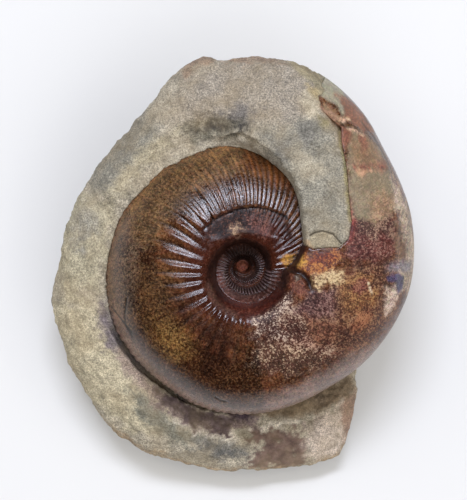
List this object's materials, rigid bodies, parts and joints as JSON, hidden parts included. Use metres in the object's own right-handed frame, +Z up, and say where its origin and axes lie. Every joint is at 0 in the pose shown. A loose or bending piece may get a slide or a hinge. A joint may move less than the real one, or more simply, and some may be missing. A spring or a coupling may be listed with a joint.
{
  "type": "ammonite fossil in matrix",
  "caption": "Coiled ribbed ammonite fossil with a deep umbilicus, held on its side in a rounded piece of sandstone that rests on a small flat spot.",
  "frame": {"origin": "middle of the small flat spot that the stone rests on, with the surface under it at Z = 0", "axes": "+Z up, away from the surface; +Y towards the top of the specimen's face; +X to the right of the face. The face looks up and leans 8 degrees towards -Y"},
  "size_m": [0.1125, 0.1255, 0.0597],
  "materials": {
    "fossil_shell": "natural fossil shell, reddish brown, semi-gloss to glossy",
    "sandstone": "rough grey-green to beige sandstone, matte"
  },
  "bodies": {
    "root": {"ammonite": "fossil_shell", "stone": "sandstone"}
  },
  "joints": []
}
